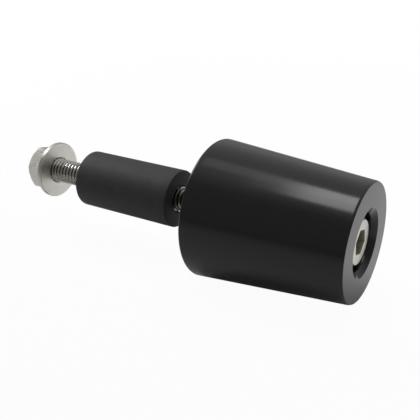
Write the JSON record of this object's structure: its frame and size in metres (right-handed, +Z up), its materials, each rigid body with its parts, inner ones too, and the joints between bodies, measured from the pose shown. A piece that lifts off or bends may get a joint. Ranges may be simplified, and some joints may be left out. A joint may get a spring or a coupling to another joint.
{
  "type": "bar end weight",
  "caption": "Tapered round handlebar end weight on a socket head screw, with a rubber expander sleeve and a flange nut inside the bar.",
  "frame": {"origin": "centre of the weight's inner face, where the end of the handlebar butts", "axes": "+X along the part's axis, outboard, away from the handlebar; +Z up and +Y across, square to the axis"},
  "size_m": [0.0892, 0.032, 0.032],
  "materials": {
    "weight_black": "satin",
    "screw_steel": "satin",
    "sleeve_rubber": "matte",
    "nut_nickel": "satin"
  },
  "bodies": {
    "weight": {"weight": "weight_black"},
    "screw": {"clamp_screw": "screw_steel"},
    "sleeve": {"expander_sleeve": "sleeve_rubber"},
    "nut": {"flange_nut": "nut_nickel"}
  },
  "joints": [
    {"name": "screw_turn", "type": "hinge", "parent": "weight", "child": "screw", "pos_m": [0, 0, 0], "axis": [-1, 0, 0], "range_deg": [0, 3960]},
    {"name": "nut_travel", "type": "slide", "parent": "weight", "child": "nut", "axis": [1, 0, 0], "range_m": [0, 0.0112]},
    {"name": "sleeve_slide", "type": "slide", "parent": "weight", "child": "sleeve", "axis": [1, 0, 0], "range_m": [0, 0.0094]}
  ],
  "couplings": [
    {"joint": "nut_travel", "follows": "screw_turn", "m_per_rad": 0.00015915}
  ]
}
